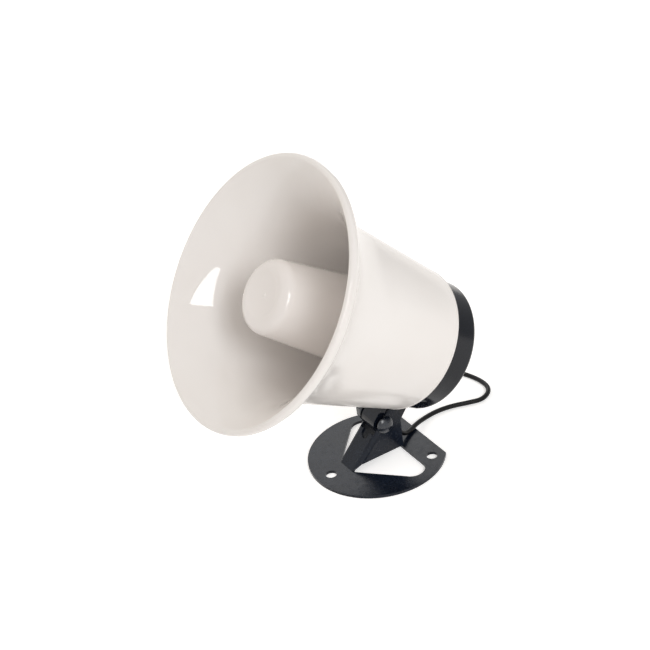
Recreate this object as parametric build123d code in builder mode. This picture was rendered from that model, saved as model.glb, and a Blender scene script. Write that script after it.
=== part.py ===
"""A small reflex horn loudspeaker on a tilting foot.

A white moulded bell carries a reflector cup on a throat tube. Behind the bell's
bulkhead sits the driver: diaphragm, voice coil, plates and ring magnet. A black rear
cover closes the housing, and its lug hangs between the two ears of a folded steel foot.
A thin lead leaves the lug, crosses the foot and ends in a small plug.

The frame: +Z is up, the mouth faces -Y, and the origin is the centre of the foot's
round plate on its underside. All sizes are in millimetres.
"""
import os
from math import atan2, cos, radians, sin, sqrt, tan

from build123d import *

# Foot: one steel stamping
sheet_thickness = 1.5
plate_radius = 33.6
plate_chord = 25.5            # centre to the straight rear edge
fixing_hole_radius = 2.75
front_hole_distance = 26.1
rear_hole_spacing = 38.6
rear_hole_distance = 19.1
fold_line_distance = 17.5     # centre to the line where the tongue bends up
tongue_root_width = 10.0
opening_rear_distance = 12.4
opening_spread = 47.7         # angle of the opening's sides to the foot's length
opening_corner_radius = 6.4

# Upright channel, folded from the tongue
channel_width = 14.0
web_lean = 48.0               # angle of the web to the plate
bend_radius = 0.9             # inside radius of the two folds
flange_bottom = 4.5           # height of the flanges' lower edges
flange_rear_distance = 11.2
ear_front_distance = 1.6
ear_arc_height = 22.3         # height of the centre of the ears' round tops
web_top = 16.5
notch_bottom = 13.7
notch_width = 5.6

# Tilt pivot
pivot_setback = 2.4           # behind the plate's centre
pivot_height = 20.7
bolt_radius = 2.5
running_clearance = 0.05
ear_clearance = 0.3           # each side of the lug, between the ears
bolt_head_radius = 4.4
bolt_head_height = 2.8
bolt_head_rim = 0.6
washer_radius = 5.0
washer_thickness = 1.0
nut_across_flats = 8.0
nut_thickness = 4.0
bolt_tail = 1.5               # thread that shows past the nut
rest_tilt = 37.5              # the mouth's axis above level

# Where the pivot lies on the horn
pivot_inset = 9.4             # before the rear cover's rear face
pivot_clearance = 10.7        # under the rear cover's side

# Bell
bell_wall = 2.2
skirt_length = 13.7           # the bulkhead's rear to the rear edge
skirt_wall = 2.0
cone_angle = 8.5
flare_end_angle = 50.0
flare_end_depth = 1.5
flare_end_inset = 1.2         # flare's end inside the mouth's radius
lip_overhang = 2.0            # rim's widest part before the mouth's plane
lip_inset = 0.1
lip_front = 3.2               # front of the rim before the mouth's plane
lip_width = 2.3
lip_rounding = 0.8            # where the inside meets the rim's front
mouth_radius = 63.5
bulkhead_depth = 73.5
bulkhead_thickness = 3.5
turn_radius = 8.0             # hollow corner where the sound turns
skirt_bore_radius = 32.0

# Reflector cup
cup_front_depth = 4.8
cup_front_radius = 17.5       # where the round shoulder meets the taper
cup_shoulder_radius = 5.5
cup_taper = 3.8
cup_rear_gap = 9.5            # before the bulkhead
cup_wall = 1.8
nub_radius = 1.3
nub_height = 0.3

# Throat tube
throat_radius = 6.5
throat_mouth_radius = 9.0
throat_mouth_depth = 20.0
throat_wall = 1.6
fin_count = 3
fin_thickness = 1.8
fin_front_depth = 26.0
fin_inset = 8.0               # before the cup's rear edge
seat_clearance = 0.15
gasket_thickness = 1.0
flange_thickness = 6.0
flange_radius = 22.0

# Driver
driver_screw_outset = 2.8     # outside the flange's radius
driver_ear_radius = 3.6
driver_screw_radius = 1.25
driver_screw_head_radius = 2.4
driver_screw_head_height = 1.6
driver_screw_bite = 2.4       # length of screw in the bulkhead
diaphragm_thickness = 0.4
dome_radius = 9.7
dome_height = 2.3
surround_radius = 13.5
surround_height = 0.9
chamber_gap = 0.9             # air in front of the diaphragm at rest
rim_radius = 15.8
rim_clearance = 0.4
rim_groove = 2.0
clamp_ring_thickness = 1.0
clamp_clearance = 0.1
coil_former_thickness = 0.2
coil_former_length = 8.0
coil_thickness = 0.5
coil_length = 5.5
pole_radius = 9.2
plate_bore_radius = 10.9
top_plate_radius = 21.0
top_plate_thickness = 3.5
magnet_radius = 22.5
magnet_bore_radius = 12.0
magnet_thickness = 8.0
yoke_radius = 20.0
yoke_thickness = 3.5
yoke_chamfer = 0.8

# Rear cover
cover_clearance = 0.4         # inside the bell's skirt
cover_draft = 0.5             # how much smaller its radius is at the rear
cover_wall = 2.2
cover_rear_room = 6.4         # behind the yoke, to the cover's rear face
cover_edge_radius = 2.0
cover_screw_inset = 4.8       # inside the cover's radius
cover_column_radius = 3.0
cover_screw_radius = 1.4
cover_screw_head_radius = 2.4
cover_screw_head_height = 1.6
cover_screw_recess = 2.0      # depth of the head's seat below the rear face
screw_head_taper = 12.0
slot_width = 0.6
slot_depth = 0.8
cover_screw_bite = 3.6        # length of screw in the bell
pilot_clearance = 0.1
seal_thickness = 1.2
weep_inset = 7.1              # before the rear face
weep_angle = 44.0
weep_recess_radius = 2.2
weep_recess = 0.8
weep_hole_radius = 1.0

# Lug under the rear cover
hub_radius = 5.4
lug_root_depth = 0.4          # reach of the lug's root inside the cover's flat rear
lug_front_gap = 0.4           # behind the bell's rear edge
lug_rear_reach = 6.3          # flat rear face under the cover's side
passage_inset = 3.9           # before the rear face
passage_radius = 1.7
exit_share = 0.38             # place of the exit along the lug's sloping underside

# Terminals
board_length = 22.0
board_width = 9.0
board_thickness = 1.2
board_corner = 1.0
tag_spacing = 13.0
tag_width = 3.0
tag_thickness = 0.5
tag_length = 7.0
tag_hole_radius = 0.7
wire_radius = 0.4
lead_end_drop = 9.5           # where the lead's jacket ends, inside the cover
wire_spread = 0.6

# Lead and what is on it
cord_diameter = 2.4
bend_share = 0.45             # share of a straight run that one bend may use
grommet_radius = 2.1
grommet_nose_radius = 1.7
grommet_seat = 1.1            # length inside the lug
grommet_nose = 1.6            # length outside it
grommet_clearance = 0.1
coil_centre_x = -95.0
coil_centre_y = 58.0
coil_middle_radius = 13.5
coil_breadth = 10.0
coil_height = 9.6
coil_rounding = 2.4
tie_width = 4.0
tie_thickness = 0.7
tie_clearance = 0.1
plug_y = 79.6
plug_radius = 4.0
neck_length = 8.0
neck_radius = 1.9
grip_length = 14.0
grip_chamfer = 0.8
collar_length = 1.2
collar_radius = 2.6
barrel_length = 9.4
pin_radius = 1.75
band_length = 0.8
tip_length = 3.6
tip_waist_radius = 1.2

# Depths that follow from the driving sizes
bulkhead_rear = bulkhead_depth + bulkhead_thickness
flange_front = bulkhead_rear + gasket_thickness
flange_rear = flange_front + flange_thickness
clamp_front = flange_rear - clamp_ring_thickness
groove_front = clamp_front - rim_groove
rim_front = groove_front + (rim_groove - diaphragm_thickness) / 2
rim_rear = rim_front + diaphragm_thickness
magnet_front = flange_rear + top_plate_thickness
yoke_front = magnet_front + magnet_thickness
yoke_rear = yoke_front + yoke_thickness
bell_length = bulkhead_rear + skirt_length
cup_rear_depth = bulkhead_depth - cup_rear_gap
fin_rear_depth = cup_rear_depth - fin_inset
cover_rear_depth = yoke_rear + cover_rear_room
cover_inner_rear = cover_rear_depth - cover_wall
cover_front = bulkhead_rear + seal_thickness
pivot_depth = cover_rear_depth - pivot_inset
passage_depth = cover_rear_depth - passage_inset
weep_depth = cover_rear_depth - weep_inset

# Radii that follow
bell_rear_radius = skirt_bore_radius + skirt_wall
cover_radius = skirt_bore_radius - cover_clearance
cover_rear_radius = cover_radius - cover_draft
cover_screw_circle = cover_radius - cover_screw_inset
driver_screw_circle = flange_radius + driver_screw_outset
pivot_drop = cover_rear_radius + pivot_clearance
lug_rear_drop = cover_rear_radius + lug_rear_reach
driver_angles = (0, 120, 240)
cover_angles = (60, 180, 300)

# The flare is the one arc that leaves the cone smoothly and ends at the mouth's rim
start_angle = radians(cone_angle)
end_angle = radians(flare_end_angle)
flare_rise = cos(start_angle) - cos(end_angle)
flare_run = sin(end_angle) - sin(start_angle)
flare_end_radius = mouth_radius - flare_end_inset
cone_gain = (bell_length - flare_end_depth) * tan(start_angle)
flare_radius = (flare_end_radius - bell_rear_radius - cone_gain) / (
    flare_rise - flare_run * tan(start_angle)
)
flare_start_depth = flare_end_depth + flare_radius * flare_run

# The horn's own axes, at rest
lift = radians(rest_tilt)
rear_way = Vector(0, cos(lift), -sin(lift))
down_way = Vector(0, -sin(lift), -cos(lift))
side_way = Vector(1, 0, 0)
pivot_point = Vector(0, pivot_setback, pivot_height)
mouth_centre = pivot_point - rear_way * pivot_depth - down_way * pivot_drop
horn_axis = Axis(mouth_centre, rear_way)


def radial_way(angle):
    """Unit vector square to the horn's axis, turned from straight down."""
    return down_way * cos(radians(angle)) + side_way * sin(radians(angle))


def half_plane(angle=0.0):
    """Plane through the horn's axis: local x is the radius, local y the depth."""
    outward = radial_way(angle)
    return Plane(origin=mouth_centre, x_dir=outward, z_dir=outward.cross(rear_way))


def cross_plane(depth):
    """Plane square to the horn's axis: local x is sideways, y down, z rearward."""
    return Plane(origin=mouth_centre + rear_way * depth, x_dir=side_way, z_dir=rear_way)


def around(radius, angles):
    """Places on a circle about the horn's axis, on a cross plane."""
    return [(radius * sin(radians(a)), radius * cos(radians(a))) for a in angles]


def horn_point(depth, drop, side=0.0):
    """A point given by its depth, its distance under the axis and its place sideways."""
    return mouth_centre + rear_way * depth + down_way * drop + side_way * side


def cone_radius(depth):
    """Outside radius of the bell's straight part."""
    return bell_rear_radius + (bell_length - depth) * tan(radians(cone_angle))


def cup_radius(depth):
    """Outside radius of the reflector cup's straight part."""
    shoulder_depth = cup_front_depth + cup_shoulder_radius
    return cup_front_radius + (depth - shoulder_depth) * tan(radians(cup_taper))


def throat_bore(depth):
    """Inside radius of the throat tube."""
    share = (flange_front - depth) / (flange_front - throat_mouth_depth)
    return throat_radius + (throat_mouth_radius - throat_radius) * share


def edge_at(builder, depth, radius):
    """The round edge about the horn's axis that is nearest to a depth and a radius."""
    centre = horn_point(depth, 0)
    return builder.edges().filter_by(GeomType.CIRCLE).sort_by(
        lambda edge: abs(edge.radius - radius) + (edge.arc_center - centre).length
    )[0]


def ring(name, inner, outer, front, rear):
    """A plain turned ring about the horn's axis."""
    with BuildPart() as made:
        with BuildSketch(half_plane()):
            Polygon((inner, front), (outer, front), (outer, rear), (inner, rear), align=None)
        revolve(axis=horn_axis)
    write(made.part, name)


def write(part, name):
    """Label a finished piece and write its file."""
    part.label = name
    export_step(part, f"parts/{name}.step")


os.makedirs("parts", exist_ok=True)

# Foot: the channel is a bent sheet leaning back, trimmed to the side view of its ears
lean = radians(web_lean)
sheet_setback = sheet_thickness / sin(lean)
web_foot = -fold_line_distance - sheet_thickness / tan(lean)
ear_rear = flange_rear_distance
ear_front = -ear_front_distance
ear_arc_radius = (ear_rear - ear_front) / 2
ear_arc_centre = (ear_rear + ear_front) / 2
reach = 2 * plate_radius


def web_face(height):
    """Place of the web's front face at a height, along the foot."""
    return web_foot + height / tan(lean)


web_plane = Plane(
    origin=(0, web_foot, 0),
    x_dir=(1, 0, 0),
    z_dir=(0, -sin(lean), cos(lean)),
)
section_plane = Plane(
    origin=(0, web_foot, 0),
    x_dir=(1, 0, 0),
    z_dir=(0, cos(lean), sin(lean)),
)

with BuildPart() as channel:
    with BuildSketch(section_plane):
        with Locations((0, reach / 2)):
            RectangleRounded(channel_width, reach, bend_radius + sheet_thickness)
        with Locations((0, reach / 2 + sheet_thickness)):
            RectangleRounded(
                channel_width - 2 * sheet_thickness, reach, bend_radius, mode=Mode.SUBTRACT
            )
    extrude(amount=reach, both=True)
    with BuildSketch(Plane.YZ):
        with BuildLine():
            Polyline(
                (ear_front, ear_arc_height),
                (ear_front, (ear_front - web_foot) * tan(lean)),
                (web_foot, 0),
                (web_foot + sheet_setback, 0),
                (web_face(flange_bottom) + sheet_setback, flange_bottom),
                (ear_rear, flange_bottom),
                (ear_rear, ear_arc_height),
            )
            ThreePointArc(
                (ear_rear, ear_arc_height),
                (ear_arc_centre, ear_arc_height + ear_arc_radius),
                (ear_front, ear_arc_height),
            )
        make_face()
    extrude(amount=channel_width, both=True, mode=Mode.INTERSECT)
    # The tongue's root is narrower than the web, and widens up to the flanges
    with BuildSketch(Plane.XZ):
        with BuildLine():
            Polyline(
                (tongue_root_width / 2, -sheet_thickness),
                (tongue_root_width / 2, sheet_thickness),
                (channel_width / 2, flange_bottom),
                (channel_width, flange_bottom),
                (channel_width, -sheet_thickness),
                close=True,
            )
        make_face()
        mirror(about=Plane.YZ)
    extrude(amount=reach, both=True, mode=Mode.SUBTRACT)
    # The web ends below the pivot in a round notch for the lug
    along_web = 1 / sin(lean)
    with BuildSketch(web_plane):
        with Locations((0, (web_top + reach / 2) * along_web)):
            Rectangle(channel_width - 2 * sheet_thickness, reach * along_web)
        with Locations((0, notch_bottom * along_web + notch_width / 2)):
            Circle(notch_width / 2)
            with Locations((0, notch_width)):
                Rectangle(notch_width, 2 * notch_width)
    extrude(amount=-2 * sheet_thickness, mode=Mode.SUBTRACT)
    with Locations(Plane(origin=pivot_point, x_dir=(0, 1, 0), z_dir=(1, 0, 0))):
        Hole(bolt_radius + running_clearance)

opening_length = fold_line_distance + opening_rear_distance
opening_half = tongue_root_width / 2 + opening_length * tan(radians(opening_spread))

with BuildPart() as bracket:
    with BuildSketch():
        Circle(plate_radius)
        with Locations((0, plate_chord + plate_radius)):
            Rectangle(2 * plate_radius, 2 * plate_radius, mode=Mode.SUBTRACT)
        with BuildSketch(mode=Mode.SUBTRACT) as opening:
            Polygon(
                (tongue_root_width / 2, -fold_line_distance),
                (opening_half, opening_rear_distance),
                (-opening_half, opening_rear_distance),
                (-tongue_root_width / 2, -fold_line_distance),
                align=None,
            )
            fillet(opening.vertices().group_by(Axis.Y)[1:], opening_corner_radius)
        with Locations((0, -front_hole_distance)):
            Circle(fixing_hole_radius, mode=Mode.SUBTRACT)
        with Locations((0, rear_hole_distance)):
            with GridLocations(rear_hole_spacing, 0, 2, 1):
                Circle(fixing_hole_radius, mode=Mode.SUBTRACT)
    extrude(amount=sheet_thickness)
    add(channel.part)
write(bracket.part, "bracket")

# Pivot bolt, with its washer and nut on the far ear
ear_face = channel_width / 2
nut_face = -(ear_face + washer_thickness)
bolt_end = nut_face - nut_thickness - bolt_tail
bolt_tip = ear_face + bolt_head_height
dome_rise = bolt_head_height - bolt_head_rim
dome_sphere = (bolt_head_radius**2 + dome_rise**2) / (2 * dome_rise)
dome_half = atan2(bolt_head_radius, dome_sphere - dome_rise) / 2
bolt_profile = Plane(origin=pivot_point, x_dir=(1, 0, 0), z_dir=(0, -1, 0))

with BuildPart() as pivot_bolt:
    with BuildSketch(bolt_profile):
        with BuildLine():
            Polyline(
                (bolt_tip, 0),
                (bolt_end, 0),
                (bolt_end, bolt_radius),
                (ear_face, bolt_radius),
                (ear_face, bolt_head_radius),
                (ear_face + bolt_head_rim, bolt_head_radius),
            )
            ThreePointArc(
                (ear_face + bolt_head_rim, bolt_head_radius),
                (bolt_tip - dome_sphere * (1 - cos(dome_half)), dome_sphere * sin(dome_half)),
                (bolt_tip, 0),
            )
        make_face()
    revolve(axis=Axis(pivot_point, (1, 0, 0)))
write(pivot_bolt.part, "pivot_bolt")

with BuildPart() as pivot_washer:
    with BuildSketch(Plane(origin=pivot_point, z_dir=(-1, 0, 0)).offset(ear_face)):
        Circle(washer_radius)
        Circle(bolt_radius + running_clearance, mode=Mode.SUBTRACT)
    extrude(amount=washer_thickness)
write(pivot_washer.part, "pivot_washer")

with BuildPart() as pivot_nut:
    with BuildSketch(Plane(origin=pivot_point, z_dir=(-1, 0, 0)).offset(-nut_face)):
        RegularPolygon(nut_across_flats / 2, 6, major_radius=False)
        Circle(bolt_radius + running_clearance, mode=Mode.SUBTRACT)
    extrude(amount=nut_thickness)
write(pivot_nut.part, "pivot_nut")

# Bell: straight cone, round flare and beaded rim, with a bulkhead near its rear edge
flare_start_radius = cone_radius(flare_start_depth)
flare_centre = (
    flare_start_radius + flare_radius * cos(start_angle),
    flare_start_depth + flare_radius * sin(start_angle),
)


def flare_point(angle, offset=0.0):
    """A point of the flare's outer arc, or of one that lies offset inside the bell."""
    return (
        flare_centre[0] - (flare_radius + offset) * cos(angle),
        flare_centre[1] - (flare_radius + offset) * sin(angle),
    )


middle_angle = (start_angle + end_angle) / 2
neck_bore = throat_bore(bulkhead_depth) + throat_wall + seat_clearance
inner_cone_step = bell_wall / cos(start_angle)

with BuildPart() as bell:
    with BuildSketch(half_plane()):
        with BuildLine():
            Polyline(
                flare_point(start_angle),
                (bell_rear_radius, bell_length),
                (skirt_bore_radius, bell_length),
                (skirt_bore_radius, bulkhead_rear),
                (neck_bore, bulkhead_rear),
                (neck_bore, bulkhead_depth),
                (cone_radius(bulkhead_depth) - inner_cone_step, bulkhead_depth),
                flare_point(start_angle, bell_wall),
            )
            # The wall thickens towards the rim, so the inside runs smoothly to its front
            TangentArc(
                flare_point(start_angle, bell_wall),
                (mouth_radius - lip_width, -lip_front),
                tangent=(sin(start_angle), -cos(start_angle)),
            )
            flare = ThreePointArc(
                flare_point(start_angle),
                flare_point(middle_angle),
                flare_point(end_angle),
            )
            rim_side = TangentArc(
                flare @ 1, (mouth_radius - lip_inset, -lip_overhang), tangent=flare % 1
            )
            TangentArc(
                rim_side @ 1, (mouth_radius - lip_width, -lip_front), tangent=rim_side % 1
            )
        make_face()
    revolve(axis=horn_axis)
    fillet(edge_at(bell, -lip_front, mouth_radius - lip_width), lip_rounding)
    fillet(
        edge_at(bell, bulkhead_depth, cone_radius(bulkhead_depth) - inner_cone_step),
        turn_radius,
    )
    # Bosses for the cover's screws, and blind holes for the driver's
    with BuildSketch(cross_plane(bulkhead_rear - bell_wall)):
        with Locations(*around(cover_screw_circle, cover_angles)):
            Circle(cover_column_radius)
    extrude(amount=bell_wall + seal_thickness)
    with BuildSketch(cross_plane(cover_front)):
        with Locations(*around(cover_screw_circle, cover_angles)):
            Circle(cover_screw_radius + pilot_clearance)
    extrude(amount=-cover_screw_bite - pilot_clearance, mode=Mode.SUBTRACT)
    with BuildSketch(cross_plane(bulkhead_rear)):
        with Locations(*around(driver_screw_circle, driver_angles)):
            Circle(driver_screw_radius + pilot_clearance)
    extrude(amount=-driver_screw_bite - pilot_clearance, mode=Mode.SUBTRACT)
write(bell.part, "bell")

# Reflector cup: closed front, open towards the bulkhead
cup_step = cup_wall / cos(radians(cup_taper))
cup_inner_front = cup_front_depth + cup_wall

with BuildPart() as reflector_cup:
    with BuildSketch(half_plane()):
        Polygon(
            (0, cup_front_depth),
            (cup_radius(cup_front_depth), cup_front_depth),
            (cup_radius(cup_rear_depth), cup_rear_depth),
            (cup_radius(cup_rear_depth) - cup_step, cup_rear_depth),
            (cup_radius(cup_inner_front) - cup_step, cup_inner_front),
            (0, cup_inner_front),
            align=None,
        )
    revolve(axis=horn_axis)
    fillet(edge_at(reflector_cup, cup_front_depth, cup_radius(cup_front_depth)), cup_shoulder_radius)
    fillet(
        edge_at(reflector_cup, cup_inner_front, cup_radius(cup_inner_front) - cup_step),
        cup_shoulder_radius - cup_wall,
    )
    with BuildSketch(cross_plane(cup_front_depth)):
        Circle(nub_radius)
    extrude(amount=-nub_height)
write(reflector_cup.part, "reflector_cup")

# Throat tube, with its flange, screw ears and the fins that carry the cup
chamber_front = rim_front - surround_height - chamber_gap
dome_share = (throat_radius / dome_radius) ** 2
chamber_throat = rim_front - dome_height * (1 - dome_share) - chamber_gap
rim_bore = rim_radius + rim_clearance

with BuildPart() as throat_tube:
    with BuildSketch(half_plane()):
        Polygon(
            (throat_mouth_radius, throat_mouth_depth),
            (throat_mouth_radius + throat_wall, throat_mouth_depth),
            (throat_radius + throat_wall, flange_front),
            (flange_radius, flange_front),
            (flange_radius, flange_rear),
            (rim_bore, flange_rear),
            (rim_bore, groove_front),
            (surround_radius - rim_clearance, groove_front),
            (surround_radius - rim_clearance, chamber_front),
            (dome_radius, chamber_front),
            (throat_radius, chamber_throat),
            (throat_radius, flange_front),
            align=None,
        )
    revolve(axis=horn_axis)
    for angle in driver_angles:
        with BuildSketch(cross_plane(flange_front)):
            with Locations(*around(driver_screw_circle, [angle])):
                Circle(driver_ear_radius)
            with Locations(*around(flange_radius - driver_ear_radius / 2, [angle])):
                Circle(driver_ear_radius)
            make_hull()
        extrude(amount=flange_thickness)
    with BuildSketch(cross_plane(flange_rear)):
        with Locations(*around(driver_screw_circle, driver_angles)):
            Circle(driver_screw_radius + pilot_clearance)
    extrude(amount=-flange_thickness, mode=Mode.SUBTRACT)
    for fin in range(fin_count):
        with BuildSketch(half_plane(180 + fin * 360 / fin_count)):
            Polygon(
                (throat_bore(fin_front_depth) + throat_wall / 2, fin_front_depth),
                (cup_radius(fin_front_depth) - cup_step - seat_clearance, fin_front_depth),
                (cup_radius(fin_rear_depth) - cup_step - seat_clearance, fin_rear_depth),
                (throat_bore(fin_rear_depth) + throat_wall / 2, fin_rear_depth),
                align=None,
            )
        extrude(amount=fin_thickness / 2, both=True)
write(throat_tube.part, "throat_tube")

# Gasket between the bulkhead and the flange
ring("bell_gasket", neck_bore, flange_radius, bulkhead_rear, flange_front)

# Diaphragm: dome, half-round surround and flat rim
surround_middle = (dome_radius + surround_radius) / 2


def diaphragm_face(shift):
    """The front or rear line of the diaphragm, from the dome's centre to the rim."""
    rim = rim_front + shift
    quarter = dome_radius / 2
    ThreePointArc(
        (0, rim - dome_height),
        (quarter, rim - dome_height * (1 - (quarter / dome_radius) ** 2)),
        (dome_radius, rim),
    )
    ThreePointArc((dome_radius, rim), (surround_middle, rim - surround_height), (surround_radius, rim))
    Line((surround_radius, rim), (rim_radius, rim))


with BuildPart() as diaphragm:
    with BuildSketch(half_plane()):
        with BuildLine():
            diaphragm_face(0)
            diaphragm_face(diaphragm_thickness)
            Line((0, rim_front - dome_height), (0, rim_rear - dome_height))
            Line((rim_radius, rim_front), (rim_radius, rim_rear))
        make_face()
    revolve(axis=horn_axis)
write(diaphragm.part, "diaphragm")

# Voice coil on its former, and the ring that closes the rim's groove
former_outer = dome_radius + coil_former_thickness
coil_front = flange_rear - (coil_length - top_plate_thickness) / 2
ring("coil_former", dome_radius, former_outer, rim_rear, rim_rear + coil_former_length)
ring("voice_coil", former_outer, former_outer + coil_thickness, coil_front, coil_front + coil_length)
ring("clamp_ring", surround_radius - rim_clearance, rim_bore - clamp_clearance, clamp_front, flange_rear)

# Magnet circuit
ring("top_plate", plate_bore_radius, top_plate_radius, flange_rear, magnet_front)
ring("magnet", magnet_bore_radius, magnet_radius, magnet_front, yoke_front)

with BuildPart() as yoke:
    with BuildSketch(cross_plane(yoke_front)):
        Circle(yoke_radius)
    extrude(amount=yoke_thickness)
    chamfer(yoke.faces().sort_by(Axis(horn_point(0, 0), rear_way))[-1].edges(), yoke_chamfer)
    with BuildSketch(cross_plane(flange_rear)):
        Circle(pole_radius)
    extrude(amount=yoke_front - flange_rear)
write(yoke.part, "yoke")

# Screws through the flange's ears into the bulkhead
with BuildPart() as driver_screws:
    with BuildSketch(cross_plane(flange_rear)):
        with Locations(*around(driver_screw_circle, driver_angles)):
            Circle(driver_screw_radius)
    extrude(amount=-flange_thickness - gasket_thickness - driver_screw_bite)
    with BuildSketch(cross_plane(flange_rear)):
        with Locations(*around(driver_screw_circle, driver_angles)):
            Circle(driver_screw_head_radius)
    extrude(amount=driver_screw_head_height, taper=screw_head_taper)
write(driver_screws.part, "driver_screws")

# Rear cover, its screw columns, its lug and the lead's passage
lug_half = channel_width / 2 - sheet_thickness - ear_clearance
screw_seat = cover_rear_depth - cover_screw_recess
lug_front = bell_length + lug_front_gap
lug_root_drop = cover_rear_radius - cover_edge_radius - lug_root_depth

# The lug's sloping underside runs from its rear corner to the round hub
corner_run = cover_rear_depth - pivot_depth
corner_rise = pivot_drop - lug_rear_drop
slope_length = sqrt(corner_run**2 + corner_rise**2 - hub_radius**2)
slope_angle = atan2(corner_rise, -corner_run) - atan2(hub_radius, slope_length)
slope_depth = cover_rear_depth + exit_share * slope_length * cos(slope_angle)
slope_drop = lug_rear_drop + exit_share * slope_length * sin(slope_angle)
exit_point = horn_point(slope_depth, slope_drop)
exit_way = rear_way * sin(slope_angle) - down_way * cos(slope_angle)
exit_plane = Plane(origin=exit_point, x_dir=side_way, z_dir=exit_way)
knee_back = (slope_depth - passage_depth) / sin(slope_angle)
knee_drop = slope_drop + knee_back * cos(slope_angle)

with BuildPart() as rear_cover:
    with BuildSketch(half_plane()):
        Polygon(
            (cover_radius, cover_front),
            (cover_radius, bell_length),
            (cover_rear_radius, cover_rear_depth),
            (0, cover_rear_depth),
            (0, cover_inner_rear),
            (cover_radius - cover_wall, cover_inner_rear),
            (cover_radius - cover_wall, cover_front),
            align=None,
        )
    revolve(axis=horn_axis)
    fillet(edge_at(rear_cover, cover_rear_depth, cover_rear_radius), cover_edge_radius)
    with BuildSketch(cross_plane(cover_front)):
        with Locations(*around(cover_screw_circle, cover_angles)):
            Circle(cover_column_radius)
    extrude(amount=cover_inner_rear - cover_front)
    with BuildSketch(half_plane()):
        with Locations((pivot_drop, pivot_depth)):
            Circle(hub_radius)
        Polygon(
            (lug_root_drop, lug_front),
            (lug_root_drop + hub_radius, lug_front),
            (lug_rear_drop, cover_rear_depth),
            (lug_root_drop, cover_rear_depth),
            align=None,
        )
        make_hull()
    extrude(amount=lug_half, both=True)
    with Locations(Plane(origin=pivot_point, x_dir=(0, 1, 0), z_dir=(1, 0, 0))):
        Hole(bolt_radius + running_clearance)
    # Deep holes for the cover's screws
    with BuildSketch(cross_plane(cover_front)):
        with Locations(*around(cover_screw_circle, cover_angles)):
            Circle(cover_screw_radius + pilot_clearance)
    extrude(amount=cover_rear_depth - cover_front, mode=Mode.SUBTRACT)
    with BuildSketch(cross_plane(screw_seat)):
        with Locations(*around(cover_screw_circle, cover_angles)):
            Circle(cover_screw_head_radius + pilot_clearance)
    extrude(amount=cover_screw_recess, mode=Mode.SUBTRACT)
    # Weep holes in shallow round recesses, low on each side
    for side in (weep_angle, -weep_angle):
        weep_way = radial_way(side)
        weep_plane = Plane(
            origin=horn_point(weep_depth, 0) + weep_way * (cover_radius - weep_recess),
            x_dir=rear_way,
            z_dir=weep_way,
        )
        with BuildSketch(weep_plane):
            Circle(weep_recess_radius)
        extrude(amount=cover_wall, mode=Mode.SUBTRACT)
        with BuildSketch(weep_plane):
            Circle(weep_hole_radius)
        extrude(amount=-2 * cover_wall, mode=Mode.SUBTRACT)
    # The lead's passage: down inside the lug, then out of its underside
    with BuildSketch(Plane(origin=horn_point(passage_depth, knee_drop), x_dir=side_way, z_dir=down_way)):
        Circle(passage_radius)
    extrude(amount=-(knee_drop - cover_radius + 2 * cover_wall), mode=Mode.SUBTRACT)
    with BuildSketch(exit_plane):
        Circle(passage_radius)
    extrude(amount=-knee_back, mode=Mode.SUBTRACT)
    with Locations(horn_point(passage_depth, knee_drop)):
        Sphere(passage_radius, mode=Mode.SUBTRACT)
    with BuildSketch(exit_plane):
        Circle(grommet_radius + grommet_clearance)
    extrude(amount=-grommet_seat, mode=Mode.SUBTRACT)
write(rear_cover.part, "rear_cover")

ring(
    "cover_seal",
    cover_screw_circle + cover_column_radius + seat_clearance,
    cover_radius,
    bulkhead_rear,
    cover_front,
)

with BuildPart() as cover_screws:
    with BuildSketch(cross_plane(screw_seat)):
        with Locations(*around(cover_screw_circle, cover_angles)):
            Circle(cover_screw_radius)
    extrude(amount=-(screw_seat - cover_front) - cover_screw_bite)
    with BuildSketch(cross_plane(screw_seat)):
        with Locations(*around(cover_screw_circle, cover_angles)):
            Circle(cover_screw_head_radius)
    extrude(amount=cover_screw_head_height, taper=screw_head_taper)
    # Cross slots in the heads
    with BuildSketch(cross_plane(screw_seat + cover_screw_head_height)):
        with Locations(*around(cover_screw_circle, cover_angles)):
            Rectangle(2 * cover_screw_radius, slot_width)
            Rectangle(slot_width, 2 * cover_screw_radius)
    extrude(amount=-slot_depth, mode=Mode.SUBTRACT)
write(cover_screws.part, "cover_screws")

# Terminal board on the yoke, with its two tags
with BuildPart() as terminal_board:
    with BuildSketch(cross_plane(yoke_rear)):
        RectangleRounded(board_length, board_width, board_corner)
    extrude(amount=board_thickness)
write(terminal_board.part, "terminal_board")

with BuildPart() as solder_tags:
    with BuildSketch(cross_plane(yoke_rear + board_thickness)):
        with GridLocations(tag_spacing, 0, 2, 1):
            SlotOverall(tag_length, tag_width, rotation=90)
            Circle(tag_hole_radius, mode=Mode.SUBTRACT)
    extrude(amount=tag_thickness)
write(solder_tags.part, "solder_tags")

# Grommet round the lead where it leaves the lug
with BuildPart() as cord_grommet:
    with BuildSketch(Plane(origin=exit_point, x_dir=side_way, z_dir=side_way.cross(exit_way))):
        Polygon(
            (cord_diameter / 2, -grommet_seat),
            (grommet_radius, -grommet_seat),
            (grommet_radius, 0),
            (grommet_nose_radius, grommet_nose),
            (cord_diameter / 2, grommet_nose),
            align=None,
        )
    revolve(axis=Axis(exit_point, exit_way))
write(cord_grommet.part, "cord_grommet")


def bend_radii(points):
    """The largest radius that the runs beside each corner of a route leave room for."""
    radii = []
    for before, corner, after in zip(points, points[1:], points[2:]):
        arriving = corner - before
        leaving = after - corner
        half_turn = radians(arriving.get_angle(leaving)) / 2
        radii.append(bend_share * min(arriving.length, leaving.length) / tan(half_turn))
    return radii


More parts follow.
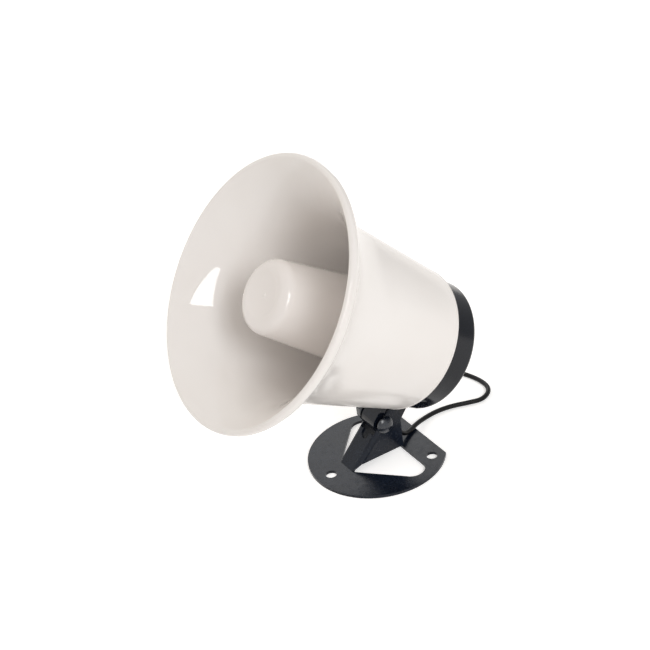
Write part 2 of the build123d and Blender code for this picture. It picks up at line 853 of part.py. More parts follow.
def tube(name, points, radii, radius):
    """A round tube along straight runs joined by arcs."""
    with BuildPart() as made:
        with BuildLine() as route:
            FilletPolyline(*points, radius=radii)
        with BuildSketch(Plane(origin=route.line @ 0, z_dir=route.line % 0)):
            Circle(radius)
        sweep()
    write(made.part, name)
    return sum(edge.length for edge in route.edges())


# The lead inside the lug and the cover, and its two bared wires
nose_end = exit_point + exit_way * grommet_nose
lead_knee = horn_point(passage_depth, knee_drop)
lead_end = horn_point(passage_depth, lead_end_drop)
tube("inner_lead", [nose_end, lead_knee, lead_end], [cord_diameter], cord_diameter / 2)

wire_depth = yoke_rear + board_thickness + tag_thickness + wire_radius
with BuildPart() as lead_wires:
    for side in (1, -1):
        with BuildLine() as wire:
            FilletPolyline(
                horn_point(passage_depth, lead_end_drop, side * wire_spread),
                horn_point(passage_depth, lead_end_drop - 3 * wire_radius, side * wire_spread),
                horn_point(passage_depth, tag_length / 2, side * tag_width),
                horn_point(wire_depth, tag_width, side * tag_spacing / 2),
                horn_point(wire_depth, 0, side * tag_spacing / 2),
                radius=2 * wire_radius,
            )
        with BuildSketch(Plane(origin=wire.line @ 0, z_dir=wire.line % 0)):
            Circle(wire_radius)
        sweep()
write(lead_wires.part, "lead_wires")

# Route of the lead outside: over the foot, round behind the cover, to its coil
floor_lie = cord_diameter / 2
plate_lie = sheet_thickness + floor_lie
route_points = [
    nose_end,
    nose_end + exit_way * 5.0,
    Vector(-0.3, 16.0, 4.6),
    Vector(-2.4, 21.0, plate_lie),
    Vector(-5.2, 26.6, plate_lie),
    Vector(-8.4, 33.6, floor_lie),
    Vector(-9.3, 41.4, floor_lie),
    Vector(-8.0, 50.0, floor_lie),
    Vector(-4.6, 58.4, floor_lie),
    Vector(-2.2, 65.6, floor_lie),
    Vector(-7.0, 73.2, floor_lie),
    Vector(-16.6, 74.4, floor_lie),
    Vector(-29.0, 70.6, floor_lie),
    Vector(-44.0, 63.0, floor_lie),
    Vector(-58.0, 53.0, floor_lie),
    Vector(-71.0, 45.6, floor_lie),
    Vector(-81.6, 43.4, floor_lie),
]
joint_point = (route_points[2] + route_points[3]) / 2
drop_points = route_points[:3] + [joint_point]
run_points = [joint_point] + route_points[3:]
tail_points = [
    Vector(-86.2, 75.4, floor_lie),
    Vector(-81.4, 77.6, floor_lie + 1.0),
    Vector(-76.2, plug_y, plug_radius),
    Vector(-71.0, plug_y, plug_radius),
]
for name, points in (
    ("cord_drop", drop_points),
    ("cord_run", run_points),
    ("cord_tail", tail_points),
):
    length = tube(name, points, bend_radii(points), cord_diameter / 2)
    print(name, "length", round(length, 1))

# Coil of the rest of the lead, as one closed shape, pinched where its tie goes round
tie_plane = Plane.YZ.offset(coil_centre_x)
tie_place = (coil_centre_y - coil_middle_radius, coil_height / 2)
pinch = tie_thickness + tie_clearance

with BuildPart() as cord_coil:
    with BuildSketch(Plane.XZ.offset(-coil_centre_y)):
        with Locations((coil_centre_x + coil_middle_radius, coil_height / 2)):
            RectangleRounded(coil_breadth, coil_height, coil_rounding)
    revolve(axis=Axis((coil_centre_x, coil_centre_y, 0), (0, 0, 1)))
    with BuildSketch(tie_plane):
        with Locations(tie_place):
            Rectangle(coil_breadth + 2 * pinch, coil_height + 2 * pinch)
            RectangleRounded(
                coil_breadth - 2 * pinch,
                coil_height - 2 * pinch,
                coil_rounding,
                mode=Mode.SUBTRACT,
            )
    extrude(amount=tie_width / 2 + tie_clearance, both=True, mode=Mode.SUBTRACT)
write(cord_coil.part, "cord_coil")

with BuildPart() as cord_tie:
    with BuildSketch(tie_plane):
        with Locations(tie_place):
            RectangleRounded(coil_breadth, coil_height, coil_rounding + tie_thickness)
            RectangleRounded(
                coil_breadth - 2 * tie_thickness,
                coil_height - 2 * tie_thickness,
                coil_rounding,
                mode=Mode.SUBTRACT,
            )
    extrude(amount=tie_width / 2, both=True)
write(cord_tie.part, "cord_tie")

# Plug: moulded grip with a tapered neck, metal barrel, insulating band and round tip
plug_axis = Axis((tail_points[-1].X, plug_y, plug_radius), (1, 0, 0))
plug_plane = Plane(origin=plug_axis.position, x_dir=(1, 0, 0), z_dir=(0, -1, 0))
barrel_end = neck_length + grip_length + barrel_length
band_end = barrel_end + band_length
tip_end = band_end + tip_length

with BuildPart() as plug_grip:
    with BuildSketch(plug_plane):
        Polygon(
            (0, 0),
            (0, neck_radius),
            (neck_length, plug_radius - grip_chamfer),
            (neck_length + grip_chamfer, plug_radius),
            (neck_length + grip_length - grip_chamfer, plug_radius),
            (neck_length + grip_length, plug_radius - grip_chamfer),
            (neck_length + grip_length, 0),
            align=None,
        )
    revolve(axis=plug_axis)
write(plug_grip.part, "plug_grip")

with BuildPart() as plug_barrel:
    with BuildSketch(plug_plane):
        Polygon(
            (neck_length + grip_length, 0),
            (neck_length + grip_length, collar_radius),
            (neck_length + grip_length + collar_length, collar_radius),
            (neck_length + grip_length + collar_length, pin_radius),
            (barrel_end, pin_radius),
            (barrel_end, 0),
            align=None,
        )
    revolve(axis=plug_axis)
write(plug_barrel.part, "plug_barrel")

with BuildPart() as plug_band:
    with BuildSketch(plug_plane):
        Polygon(
            (barrel_end, 0), (barrel_end, pin_radius), (band_end, pin_radius), (band_end, 0), align=None
        )
    revolve(axis=plug_axis)
write(plug_band.part, "plug_band")

with BuildPart() as plug_tip:
    with BuildSketch(plug_plane):
        Polygon(
            (band_end, 0),
            (band_end, pin_radius),
            (band_end + tip_length / 4, tip_waist_radius),
            (band_end + tip_length / 2, pin_radius),
            (tip_end, tip_waist_radius / 2),
            (tip_end, 0),
            align=None,
        )
    revolve(axis=plug_axis)
write(plug_tip.part, "plug_tip")
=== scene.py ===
import math

import bmesh
import bpy
from mathutils import Matrix, Vector


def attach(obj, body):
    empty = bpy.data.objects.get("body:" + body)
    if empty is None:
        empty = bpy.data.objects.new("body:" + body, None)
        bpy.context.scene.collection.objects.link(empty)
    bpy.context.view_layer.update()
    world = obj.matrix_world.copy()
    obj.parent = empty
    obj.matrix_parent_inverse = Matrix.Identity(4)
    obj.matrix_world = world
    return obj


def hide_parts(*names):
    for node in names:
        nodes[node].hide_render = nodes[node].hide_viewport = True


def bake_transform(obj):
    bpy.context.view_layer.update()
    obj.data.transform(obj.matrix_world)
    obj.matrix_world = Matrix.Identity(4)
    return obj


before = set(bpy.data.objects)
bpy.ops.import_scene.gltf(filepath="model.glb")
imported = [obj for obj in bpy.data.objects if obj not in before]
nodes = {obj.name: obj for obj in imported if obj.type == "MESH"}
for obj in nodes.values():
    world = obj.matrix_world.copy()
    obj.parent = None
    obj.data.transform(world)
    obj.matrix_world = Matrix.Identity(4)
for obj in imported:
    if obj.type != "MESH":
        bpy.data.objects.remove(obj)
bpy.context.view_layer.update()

# The horn's own axes, as in the part's source, in metres
REST_TILT = math.radians(37.5)
REAR_WAY = Vector((0, math.cos(REST_TILT), -math.sin(REST_TILT)))
DOWN_WAY = Vector((0, -math.sin(REST_TILT), -math.cos(REST_TILT)))
SIDE_WAY = Vector((1, 0, 0))
PIVOT = Vector((0, 0.0024, 0.0207))
PIVOT_DEPTH = 0.096           # behind the mouth's plane
PIVOT_DROP = 0.0418           # under the horn's axis
MOUTH = PIVOT - REAR_WAY * PIVOT_DEPTH - DOWN_WAY * PIVOT_DROP


def to_linear(value):
    """Light's share for a screen value from 0 to 255."""
    value = value / 255
    return value / 12.92 if value <= 0.04045 else ((value + 0.055) / 1.055) ** 2.4


def colour(red, green, blue):
    """A colour given as it shows on a screen."""
    return (to_linear(red), to_linear(green), to_linear(blue), 1)


class Finish:
    """A procedural material with its shader, and helpers that add nodes to it."""

    def __init__(self, name, base, roughness, metallic=0.0, ior=1.5):
        self.material = bpy.data.materials.new(name)
        self.material.use_nodes = True
        self.tree = self.material.node_tree
        self.shader = self.tree.nodes["Principled BSDF"]
        self.shader.inputs["Base Color"].default_value = base
        self.shader.inputs["Roughness"].default_value = roughness
        self.shader.inputs["Metallic"].default_value = metallic
        self.shader.inputs["IOR"].default_value = ior
        self.place = self.add("ShaderNodeTexCoord").outputs["Object"]
        self.normal = None

    def add(self, kind):
        return self.tree.nodes.new(kind)

    def link(self, output, node_input):
        self.tree.links.new(output, node_input)

    def noise(self, scale, detail=3.0, roughness=0.5, stretch=None):
        node = self.add("ShaderNodeTexNoise")
        node.inputs["Scale"].default_value = scale
        node.inputs["Detail"].default_value = detail
        node.inputs["Roughness"].default_value = roughness
        place = self.place
        if stretch:
            mapping = self.add("ShaderNodeMapping")
            mapping.inputs["Scale"].default_value = stretch
            self.link(place, mapping.inputs["Vector"])
            place = mapping.outputs["Vector"]
        self.link(place, node.inputs["Vector"])
        return node.outputs["Fac"]

    def span(self, value, low, high, start=0.0, end=1.0):
        """Maps a value from low..high to start..end."""
        node = self.add("ShaderNodeMapRange")
        node.inputs["From Min"].default_value = low
        node.inputs["From Max"].default_value = high
        node.inputs["To Min"].default_value = start
        node.inputs["To Max"].default_value = end
        self.link(value, node.inputs["Value"])
        return node.outputs["Result"]

    def blend(self, share, first, second):
        """A colour between two, by a share from 0 to 1."""
        node = self.add("ShaderNodeMix")
        node.data_type = "RGBA"
        self.link(share, node.inputs[0])
        for value, node_input in ((first, node.inputs[6]), (second, node.inputs[7])):
            if isinstance(value, tuple):
                node_input.default_value = value
            else:
                self.link(value, node_input)
        return node.outputs[2]

    def bump(self, height, distance, strength=1.0):
        node = self.add("ShaderNodeBump")
        node.inputs["Distance"].default_value = distance
        node.inputs["Strength"].default_value = strength
        self.link(height, node.inputs["Height"])
        if self.normal:
            self.link(self.normal, node.inputs["Normal"])
        self.normal = node.outputs["Normal"]
        self.link(self.normal, self.shader.inputs["Normal"])

    def paint(self, output):
        self.link(output, self.shader.inputs["Base Color"])

    def gloss(self, output):
        self.link(output, self.shader.inputs["Roughness"])


def moulded(name, base, shade, roughness, grain_scale, grain_depth):
    """Moulded plastic: slow colour drift, fine surface grain and uneven gloss."""
    made = Finish(name, base, roughness)
    drift = made.span(made.noise(22.0, 2.0), 0.3, 0.7)
    made.paint(made.blend(drift, base, shade))
    made.gloss(made.span(made.noise(160.0, 4.0), 0.25, 0.75, roughness * 0.85, roughness * 1.2))
    made.bump(made.noise(grain_scale, 3.0), grain_depth)
    return made


bell_finish = moulded("bell_plastic", colour(239, 235, 232), colour(243, 240, 238), 0.1, 900.0, 0.000004)
cup_finish = moulded("cup_plastic", colour(237, 232, 229), colour(241, 237, 235), 0.12, 900.0, 0.000004)
throat_finish = moulded(
    "throat_plastic", colour(232, 226, 219), colour(237, 231, 225), 0.2, 900.0, 0.000005)
cover_finish = moulded("cover_plastic", colour(11, 14, 22), colour(16, 20, 29), 0.14, 3200.0, 0.000012)
cover_finish.shader.inputs["IOR"].default_value = 1.38
grip_finish = moulded("grip_plastic", colour(17, 17, 18), colour(24, 24, 25), 0.38, 2600.0, 0.00002)
tie_finish = moulded("tie_plastic", colour(22, 22, 23), colour(30, 30, 31), 0.45, 1800.0, 0.00003)
board_finish = moulded("board_fibre", colour(120, 84, 48), colour(142, 100, 58), 0.55, 2400.0, 0.00003)
film_finish = moulded("diaphragm_film", colour(150, 112, 52), colour(168, 128, 66), 0.3, 1200.0, 0.00001)
band_finish = moulded("band_plastic", colour(18, 18, 18), colour(24, 24, 24), 0.3, 1800.0, 0.00001)
wire_finish = moulded("wire_jacket", colour(150, 30, 26), colour(166, 38, 32), 0.35, 2600.0, 0.00001)


def painted_steel(name, ior):
    """Glossy dark paint on steel, with slow colour drift, fine peel and uneven gloss."""
    made = Finish(name, colour(17, 23, 34), 0.2, ior=ior)
    drift = made.span(made.noise(60.0, 3.0), 0.3, 0.7)
    made.paint(made.blend(drift, colour(12, 17, 27), colour(21, 28, 40)))
    made.gloss(made.span(made.noise(420.0, 5.0, 0.65), 0.3, 0.7, 0.14, 0.34))
    made.bump(made.noise(650.0, 4.0), 0.000028, 0.7)
    made.bump(made.noise(2600.0, 2.0), 0.000006, 0.6)
    return made


def plated(name, base, roughness, scale=1400.0):
    """Plated metal with fine machining marks."""
    made = Finish(name, base, roughness, metallic=1.0)
    marks = made.noise(scale, 3.0, stretch=(0.15, 1.0, 1.0))
    made.gloss(made.span(marks, 0.3, 0.7, roughness * 0.7, roughness * 1.4))
    made.bump(marks, 0.00001, 0.5)
    return made


def rubber(name, base, shade, roughness):
    """Soft rubber or vinyl: matte, with a faint mottle."""
    made = Finish(name, base, roughness)
    made.paint(made.blend(made.span(made.noise(300.0, 3.0), 0.3, 0.7), base, shade))
    made.gloss(made.span(made.noise(900.0, 4.0), 0.3, 0.7, roughness * 0.85, roughness * 1.15))
    made.bump(made.noise(3000.0, 3.0), 0.00001, 0.6)
    return made


steel_paint = painted_steel("painted_steel", 1.34)
bolt_paint = painted_steel("painted_bolt", 1.62)
zinc = plated("plated_steel", colour(196, 196, 200), 0.3)
nickel = plated("plug_metal", colour(214, 212, 208), 0.16)
bare_aluminium = plated("former_aluminium", colour(205, 206, 208), 0.32)
copper = plated("coil_copper", colour(190, 112, 72), 0.3, 5000.0)
tinned = plated("tag_brass", colour(206, 186, 128), 0.28)
ferrite = moulded("magnet_ferrite", colour(52, 50, 50), colour(66, 64, 64), 0.55, 2400.0, 0.00004)
gasket = rubber("gasket_rubber", colour(18, 18, 18), colour(26, 26, 26), 0.62)
jacket = rubber("cord_jacket", colour(10, 10, 11), colour(15, 15, 16), 0.36)
jacket.shader.inputs["IOR"].default_value = 1.31

NODE_FINISH = {
    "bracket": steel_paint, "pivot_bolt": bolt_paint,
    "pivot_washer": bolt_paint, "pivot_nut": bolt_paint,
    "bell": bell_finish, "reflector_cup": cup_finish, "throat_tube": throat_finish,
    "bell_gasket": gasket, "diaphragm": film_finish, "coil_former": bare_aluminium,
    "voice_coil": copper, "clamp_ring": throat_finish, "top_plate": zinc, "magnet": ferrite,
    "yoke": zinc, "driver_screws": zinc, "rear_cover": cover_finish, "cover_seal": gasket,
    "cover_screws": zinc, "terminal_board": board_finish, "solder_tags": tinned,
    "cord_grommet": gasket, "inner_lead": jacket, "lead_wires": wire_finish,
    "cord_drop": jacket, "cord_run": jacket, "cord_coil": jacket, "cord_tail": jacket,
    "cord_tie": tie_finish, "plug_grip": grip_finish, "plug_barrel": nickel,
    "plug_band": band_finish, "plug_tip": nickel,
}
for name, finish in NODE_FINISH.items():
    mesh = nodes[name].data
    mesh.materials.clear()
    mesh.materials.append(finish.material)


def dress(piece, finish):
    """Gives a new piece its material."""
    piece.data.materials.clear()
    piece.data.materials.append(finish.material)
    return piece


def horn_place(depth, radius, angle):
    """A point by depth behind the mouth, radius and angle from straight down."""
    outward = DOWN_WAY * math.cos(angle) + SIDE_WAY * math.sin(angle)
    return MOUTH + REAR_WAY * depth + outward * radius


def arc(centre, radius, start, end, steps):
    """Points (radius, depth) on an arc; angles in degrees, from +radius to +depth."""
    return [
        (centre[0] + radius * math.cos(math.radians(start + (end - start) * k / steps)),
         centre[1] + radius * math.sin(math.radians(start + (end - start) * k / steps)))
        for k in range(steps + 1)
    ]


def turned(name, profile, segments=256):
    """A solid of revolution about the horn's axis from a profile in millimetres."""
    mesh = bmesh.new()
    columns = []
    for segment in range(segments):
        angle = 2 * math.pi * segment / segments
        columns.append([
            mesh.verts.new(horn_place(depth / 1000, radius / 1000, angle))
            if radius > 1e-6 or segment == 0 else columns[0][index]
            for index, (radius, depth) in enumerate(profile)
        ])
    count = len(profile)
    pairs = [(i, (i + 1) % count) for i in range(count)]
    for segment in range(segments):
        here, there = columns[segment], columns[(segment + 1) % segments]
        for low, high in pairs:
            corners = []
            for vertex in (here[low], here[high], there[high], there[low]):
                if vertex not in corners:
                    corners.append(vertex)
            if len(corners) > 2:
                mesh.faces.new(corners)
    bmesh.ops.recalc_face_normals(mesh, faces=mesh.faces)
    data = bpy.data.meshes.new(name)
    mesh.to_mesh(data)
    mesh.free()
    for face in data.polygons:
        face.use_smooth = True
    made = bpy.data.objects.new(name, data)
    bpy.context.scene.collection.objects.link(made)
    return made


# The bell, turned from a fine profile: radius and depth behind the mouth, in millimetres
CONE_SLOPE = math.tan(math.radians(8.5))
CUP_SLOPE = math.tan(math.radians(3.8))
CUP_FRONT = 1.8               # 3 mm before the solid's face, where the photo shows it
CUP_REAR = 64.0
CUP_SHOULDER = 5.5            # radius of the round shoulder
CUP_WALL = 1.8


def cone(depth):
    """Outside radius of the bell's straight part."""
    return 34.0 + (90.7 - depth) * CONE_SLOPE


def bell_profile():
    """The bell's closed section, from the neck's rear edge round the inside and the rim."""
    points = [(8.444, 77.0), (8.444, 73.5)]
    points += arc((27.456, 65.5), 8.0, 90.0, 8.5, 12)
    points += [(cone(d) - 2.2245, d) for d in (60.0, 52.0, 45.0)]
    points += arc((108.96, 48.02), 70.03, 188.5, 226.7, 44)
    points += [(61.34, -3.22), (61.62, -3.36)]
    points += arc((61.727, -1.549), 1.733, -78.0, -15.0, 10)
    points += arc((60.105, -1.110), 3.41, -10.0, 46.0, 10)
    points += arc((100.23, 46.72), 59.0, 230.0, 188.5, 44)
    points += [(cone(d), d) for d in (46.0, 56.0, 68.0, 80.0, 88.7)]
    points += [(cone(89.0) - 0.02, 89.0), (cone(89.2) - 0.25, 89.2), (cone(89.4) - 0.25, 89.4)]
    points += [(cone(89.6) + 0.06, 89.6), (cone(90.0) + 0.12, 90.0), (cone(90.45) + 0.04, 90.45)]
    points += [(33.7, 90.7), (32.0, 90.7), (32.0, 77.0)]
    return points


def cup_side(depth):
    """Outside radius of the cup's taper."""
    return 17.5 + (depth - 10.3) * CUP_SLOPE


def cup_profile():
    """The cup's closed section: a slightly hollow face with a nub, a round shoulder, a taper."""
    rear = cup_side(CUP_REAR)
    shoulder_depth = CUP_FRONT + CUP_SHOULDER
    middle = (cup_side(shoulder_depth) - 5.512, shoulder_depth)
    nub = [(0.0, 0.95), (0.35, 0.98), (0.62, 1.08), (0.85, 1.25), (1.0, 1.35)]
    face = [(r, 0.137 + 1.2235 * (1 - (r / 10.77) ** 2)) for r in (1.4, 2.5, 4, 5.5, 7, 8.5, 10)]
    points = [(r, CUP_FRONT + d) for r, d in nub + face]
    points += arc(middle, CUP_SHOULDER, -102.8, -3.8, 30)
    points += [(cup_side(d), d) for d in (16.0, 28.0, 40.0, 52.0, 63.6)]
    points += [(rear - 0.1, CUP_REAR - 0.12), (rear - 0.35, CUP_REAR), (rear - 1.804, CUP_REAR)]
    points += arc(middle, CUP_SHOULDER - CUP_WALL, -3.8, -90.0, 8)
    points += [(0.0, CUP_FRONT + 2.6)]
    return points


bell = turned("bell_shell", bell_profile())
bell.data.set_sharp_from_angle(angle=math.radians(38))
dress(bell, bell_finish)
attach(bell, "horn")
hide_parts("bell")

# The moulding is highly polished inside and a little duller outside
outside = bell.data.attributes.new("outside", "FLOAT", "POINT")
profile_count = len(bell_profile())
first_outside = 81            # the profile's points before it are the inside and the rim's front
for index, item in enumerate(outside.data):
    item.value = 1.0 if index % profile_count >= first_outside else 0.0
share = bell_finish.add("ShaderNodeAttribute")
share.attribute_name = "outside"
bell_finish.gloss(bell_finish.span(share.outputs["Fac"], 0.0, 1.0, 0.05, 0.2))

cup = turned("cup_shell", cup_profile(), segments=160)
cup.data.set_sharp_from_angle(angle=math.radians(38))
dress(cup, cup_finish)
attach(cup, "horn")
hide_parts("reflector_cup")

# The lead: out of the lug, over the foot, behind the cover, then its coil and the plug
CORD_RADIUS = 0.0012
LIE = 0.0012                  # height of the centreline on the floor
PLATE_LIE = 0.0027            # and on the foot's plate
CORD_POINTS = [
    (0.0, 0.00989, 0.01588), (0.0, 0.01151, 0.01115), (-0.0003, 0.0160, 0.0046),
    (-0.0024, 0.0210, PLATE_LIE), (-0.0052, 0.0266, PLATE_LIE), (-0.0084, 0.0336, LIE),
    (-0.0093, 0.0414, LIE), (-0.0080, 0.0500, LIE), (-0.0046, 0.0584, LIE),
    (-0.0022, 0.0656, LIE), (-0.0070, 0.0732, LIE), (-0.0166, 0.0744, LIE),
    (-0.0290, 0.0706, LIE), (-0.0440, 0.0630, LIE), (-0.0580, 0.0530, LIE),
    (-0.0710, 0.0456, LIE), (-0.0816, 0.0434, LIE),
]
COIL_CENTRE = Vector((-0.095, 0.058, 0.0))
COIL_PITCH = 0.00252
COIL_LIFT = 0.00245
COLUMNS = [0.0135 + COIL_PITCH * step for step in (1.5, 0.5, -0.5, -1.5)]
LAYERS = [LIE + 0.0009 + COIL_LIFT * step for step in range(4)]
STEPS = 18                    # points in one turn
COIL_START = math.radians(-72)
CROSSING = 0.72               # share of a turn after which it moves to its next place
LAST_TURN = 0.58              # share of the last turn that is laid
WOBBLE = 0.00035              # the turns aren't quite round


def coil_slots():
    """The turns' places in the coil's section: out to in, up, in to out, and again."""
    order = []
    for layer, height in enumerate(LAYERS):
        row = [(radius, height) for radius in COLUMNS]
        order.extend(row if layer % 2 == 0 else row[::-1])
    return order


def coil_points():
    """Centreline points of the coil, turn by turn, clockwise from above."""
    points = []
    slots = coil_slots()
    for turn, (radius, height) in enumerate(slots):
        last = turn == len(slots) - 1
        following = slots[turn] if last else slots[turn + 1]
        for step in range(STEPS):
            share = step / STEPS
            move = max(0.0, (share - CROSSING) / (1 - CROSSING))
            move = move * move * (3 - 2 * move)
            r = radius + (following[0] - radius) * move
            z = height + (following[1] - height) * move
            angle = COIL_START - 2 * math.pi * share
            r += WOBBLE * math.sin(2 * angle + 0.7)
            points.append(tuple(COIL_CENTRE + Vector((r * math.cos(angle), r * math.sin(angle), z))))
            if last and share > LAST_TURN:
                return points
    return points


TAIL_POINTS = [
    (-0.0862, 0.0768, 0.0078), (-0.0812, 0.0790, 0.0056), (-0.0762, 0.0796, 0.0040),
    (-0.0710, 0.0796, 0.0040),
]
route = CORD_POINTS + coil_points() + TAIL_POINTS
spline_curve = bpy.data.curves.new("lead_line", "CURVE")
spline_curve.dimensions = "3D"
spline = spline_curve.splines.new("NURBS")
spline.points.add(len(route) - 1)
for point, place in zip(spline.points, route):
    point.co = (*place, 1)
spline.order_u = 3
spline.use_endpoint_u = True
spline.resolution_u = 6
line_object = bpy.data.objects.new("lead_line", spline_curve)
bpy.context.scene.collection.objects.link(line_object)
bpy.context.view_layer.update()
line_mesh = bpy.data.meshes.new_from_object(line_object)
line = [vertex.co.copy() for vertex in line_mesh.vertices]
bpy.data.meshes.remove(line_mesh)
bpy.data.objects.remove(line_object)


def tube_mesh(name, path, radius, sides=14):
    """A closed round tube along a path, with flat ends."""
    mesh = bmesh.new()
    normal = Vector((1, 0, 0))
    rings = []
    for index, place in enumerate(path):
        before = path[max(index - 1, 0)]
        after = path[min(index + 1, len(path) - 1)]
        way = (after - before).normalized()
        normal = (normal - way * normal.dot(way)).normalized()
        other = way.cross(normal)
        rings.append([
            mesh.verts.new(place + (normal * math.cos(a) + other * math.sin(a)) * radius)
            for a in (2 * math.pi * side / sides for side in range(sides))
        ])
    for lower, upper in zip(rings, rings[1:]):
        for side in range(sides):
            following = (side + 1) % sides
            mesh.faces.new((lower[side], lower[following], upper[following], upper[side]))
    mesh.faces.new(list(reversed(rings[0])))
    mesh.faces.new(rings[-1])
    data = bpy.data.meshes.new(name)
    mesh.to_mesh(data)
    mesh.free()
    for face in data.polygons:
        face.use_smooth = len(face.vertices) == 4
    made = bpy.data.objects.new(name, data)
    bpy.context.scene.collection.objects.link(made)
    return made


# The strap round the coil, with its end laid over its start
STRAP_THICK = 0.0006
STRAP_WIDTH = 0.004
STRAP_MIDDLE = (0.01328, 0.005775)
STRAP_HALF = (0.00508 + STRAP_THICK / 2, 0.00498 + STRAP_THICK / 2)
STRAP_CORNER = 0.0016


def strap_corner(side_r, side_z, start, end, lift=0.0):
    """Points of one rounded corner of the strap's loop, as radius and height."""
    centre_r = STRAP_MIDDLE[0] + side_r * (STRAP_HALF[0] - STRAP_CORNER)
    centre_z = STRAP_MIDDLE[1] + side_z * (STRAP_HALF[1] - STRAP_CORNER)
    turn = [math.radians(start + (end - start) * k / 6) for k in range(7)]
    reach = STRAP_CORNER + lift
    return [(centre_r + reach * math.cos(a), centre_z + reach * math.sin(a)) for a in turn]


outer = STRAP_MIDDLE[0] + STRAP_HALF[0]
strap_path = [(outer, 0.0078), (outer, 0.006), (outer, 0.004)]
strap_path += strap_corner(1, -1, 0, -90)
strap_path += strap_corner(-1, -1, -90, -180)
strap_path += strap_corner(-1, 1, -180, -270)
strap_path += strap_corner(1, 1, 90, 0, STRAP_THICK * 0.6)
strap_path += [(outer + STRAP_THICK * 1.08, z) for z in (0.0078, 0.006, 0.0044, 0.0032)]
strap_mesh = bmesh.new()
strap_rings = []
for index, (radius, height) in enumerate(strap_path):
    before = strap_path[max(index - 1, 0)]
    after = strap_path[min(index + 1, len(strap_path) - 1)]
    way = Vector((after[0] - before[0], after[1] - before[1])).normalized()
    ring = []
    for across, through in ((-1, -1), (1, -1), (1, 1), (-1, 1)):
        r = radius + way.y * through * STRAP_THICK / 2
        z = height - way.x * through * STRAP_THICK / 2
        x = COIL_CENTRE.x + across * STRAP_WIDTH / 2
        ring.append(strap_mesh.verts.new((x, COIL_CENTRE.y - r, z)))
    strap_rings.append(ring)
for lower, upper in zip(strap_rings, strap_rings[1:]):
    for side in range(4):
        following = (side + 1) % 4
        strap_mesh.faces.new((lower[side], lower[following], upper[following], upper[side]))
strap_mesh.faces.new(strap_rings[0])
strap_mesh.faces.new(strap_rings[-1])
bmesh.ops.recalc_face_normals(strap_mesh, faces=strap_mesh.faces)
strap_data = bpy.data.meshes.new("strap")
strap_mesh.to_mesh(strap_data)
strap_mesh.free()
for face in strap_data.polygons:
    face.use_smooth = True
strap_data.set_sharp_from_angle(angle=math.radians(50))
strap = bpy.data.objects.new("strap", strap_data)
bpy.context.scene.collection.objects.link(strap)
dress(strap, tie_finish)
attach(strap, "bracket")
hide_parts("cord_tie")

# The lead itself
lead = dress(tube_mesh("lead", line, CORD_RADIUS), jacket)
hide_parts("cord_drop", "cord_run", "cord_coil", "cord_tail")
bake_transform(lead)

# Camera at the photograph's angle
camera_data = bpy.data.cameras.new("camera")
camera_data.lens = 92.566
camera_data.sensor_width = 36
camera = bpy.data.objects.new("camera", camera_data)
right = Vector((0.52232, 0.84456, -0.11785)).normalized()
back = Vector((0.75215, -0.39116, 0.53034))
back = (back - right * back.dot(right)).normalized()
up = back.cross(right)
camera.matrix_world = Matrix((
    (right.x, up.x, back.x, 0.56972),
    (right.y, up.y, back.y, -0.31457),
    (right.z, up.z, back.z, 0.48453),
    (0, 0, 0, 1),
))
bpy.context.scene.collection.objects.link(camera)
bpy.context.scene.camera = camera

# Floor and studio light
floor_data = bpy.data.meshes.new("floor")
floor_mesh = bmesh.new()
bmesh.ops.create_grid(floor_mesh, x_segments=1, y_segments=1, size=8.0)
floor_mesh.to_mesh(floor_data)
floor_mesh.free()
floor = bpy.data.objects.new("floor", floor_data)
bpy.context.scene.collection.objects.link(floor)
floor_finish = Finish("floor", colour(250, 250, 250), 0.9)
floor_data.materials.append(floor_finish.material)


def seen_only(tree):
    """1 for rays from the camera and in reflections, which see a white backdrop."""
    path = tree.nodes.new("ShaderNodeLightPath")
    seen = path.outputs["Is Camera Ray"]
    for kind in ("Is Transmission Ray", "Is Glossy Ray"):
        either = tree.nodes.new("ShaderNodeMath")
        either.operation = "MAXIMUM"
        tree.links.new(seen, either.inputs[0])
        tree.links.new(path.outputs[kind], either.inputs[1])
        seen = either.outputs["Value"]
    return seen


# The floor is a little brighter where it is seen, so that only the shadow shows on it
lift = floor_finish.span(seen_only(floor_finish.tree), 0.0, 1.0, 0.0, 0.42)
floor_finish.shader.inputs["Emission Color"].default_value = (1, 1, 1, 1)
floor_finish.link(lift, floor_finish.shader.inputs["Emission Strength"])

world = bpy.data.worlds.new("studio")
world.use_nodes = True
world_tree = world.node_tree
background = world_tree.nodes["Background"]
warm = world_tree.nodes.new("ShaderNodeMix")
warm.data_type = "RGBA"
warm.inputs[6].default_value = (1.0, 0.945, 0.885, 1)
warm.inputs[7].default_value = (1, 1, 1, 1)
seen = seen_only(world_tree)
world_tree.links.new(seen, warm.inputs[0])
world_tree.links.new(warm.outputs[2], background.inputs["Color"])
world_level = world_tree.nodes.new("ShaderNodeMapRange")
world_level.inputs["To Min"].default_value = 0.52
world_level.inputs["To Max"].default_value = 1.0
world_tree.links.new(seen, world_level.inputs["Value"])
world_tree.links.new(world_level.outputs["Result"], background.inputs["Strength"])
bpy.context.scene.world = world

LIGHT_TARGET = Vector((0, -0.02, 0.09))


def toward(azimuth, elevation):
    """Unit vector from the object, by compass angle from +X and height angle."""
    a, e = math.radians(azimuth), math.radians(elevation)
    return Vector((math.cos(e) * math.cos(a), math.cos(e) * math.sin(a), math.sin(e)))


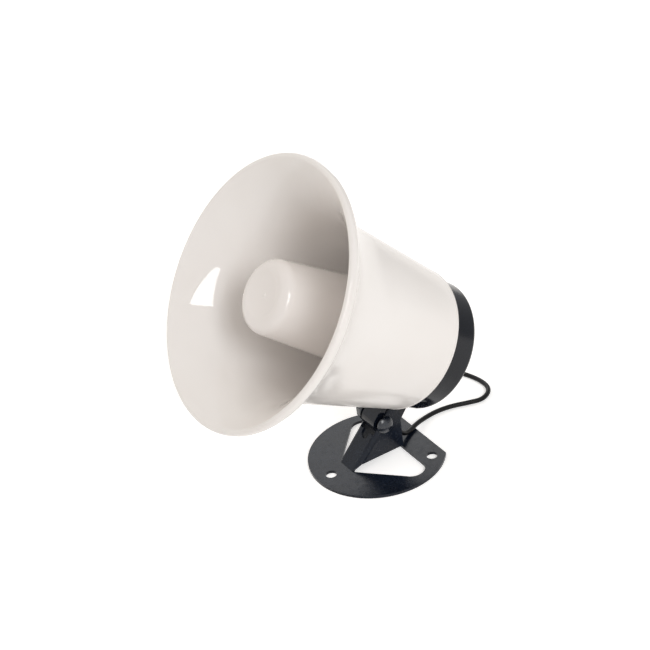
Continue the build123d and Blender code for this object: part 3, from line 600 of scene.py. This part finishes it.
def softbox(name, azimuth, elevation, distance, width, height, power, tint):
    """A rectangular lamp that faces the object and doesn't show in reflections."""
    lamp_data = bpy.data.lights.new(name, "AREA")
    lamp_data.shape = "RECTANGLE"
    lamp_data.size = width
    lamp_data.size_y = height
    lamp_data.energy = power
    lamp_data.color = tint
    lamp = bpy.data.objects.new(name, lamp_data)
    way = toward(azimuth, elevation)
    lamp.location = LIGHT_TARGET + way * distance
    lamp.rotation_euler = (-way).to_track_quat("-Z", "Y").to_euler()
    lamp.visible_glossy = False
    bpy.context.scene.collection.objects.link(lamp)
    return lamp


softbox("key", -4, 33, 3.0, 1.0, 1.1, 33, (0.97, 0.985, 1.0))
softbox("side", 52, 40, 2.6, 2.0, 1.6, 5, (0.97, 0.985, 1.0))
softbox("left", -155, 35, 2.6, 1.6, 1.4, 15, (1.0, 0.95, 0.88))


def card(name, corners, faces, strength):
    """A glowing surface that only reflections see."""
    data = bpy.data.meshes.new(name)
    data.from_pydata([tuple(corner) for corner in corners], [], faces)
    made = bpy.data.objects.new(name, data)
    bpy.context.scene.collection.objects.link(made)
    glow = Finish(name, (0, 0, 0, 1), 1.0)
    glow.shader.inputs["Specular IOR Level"].default_value = 0.0
    glow.shader.inputs["Emission Color"].default_value = (1, 1, 1, 1)
    glow.shader.inputs["Emission Strength"].default_value = strength
    data.materials.append(glow.material)
    made.visible_camera = False
    made.visible_diffuse = False
    made.visible_shadow = False


# The bright panel that shows as a slanted patch in the bell's glossy inside
PANEL_CENTRE = Vector((-0.048, -0.048, 0.095))
PANEL_DISTANCE = 1.1
PANEL_WAYS = [(-26, 20), (-22, 17), (1, 45), (-25, 54)]
panel_corners = [PANEL_CENTRE + toward(a, e) * PANEL_DISTANCE for a, e in PANEL_WAYS]
card("panel", panel_corners, [(0, 1, 2, 3)], 9.0)

# A darker wall behind, which gives the black cover its dark side
WALL_DISTANCE = 0.95
WALL_HEIGHT = 0.75
wall_feet = [toward(a, 0) * WALL_DISTANCE for a in range(30, 141, 10)]
wall_corners = [foot + Vector((0, 0, z)) for foot in wall_feet for z in (0.0, WALL_HEIGHT)]
wall_faces = [(2 * k, 2 * k + 2, 2 * k + 3, 2 * k + 1) for k in range(len(wall_feet) - 1)]
card("wall", wall_corners, wall_faces, 0.5)

# A small bright card close behind, with which the foot's plate shines
SHEEN_DISTANCE = 0.25
SHEEN_HALF = (0.078, 0.062)
sheen_way = toward(152, 33)
sheen_across = sheen_way.cross(Vector((0, 0, 1))).normalized() * SHEEN_HALF[0]
sheen_up = sheen_across.normalized().cross(sheen_way) * SHEEN_HALF[1]
sheen_corners = [
    sheen_way * SHEEN_DISTANCE + sheen_across * x + sheen_up * y
    for x, y in ((-1, -1), (1, -1), (1, 1), (-1, 1))
]
card("sheen", sheen_corners, [(0, 1, 2, 3)], 2.2)

bpy.context.scene.view_settings.view_transform = "Standard"
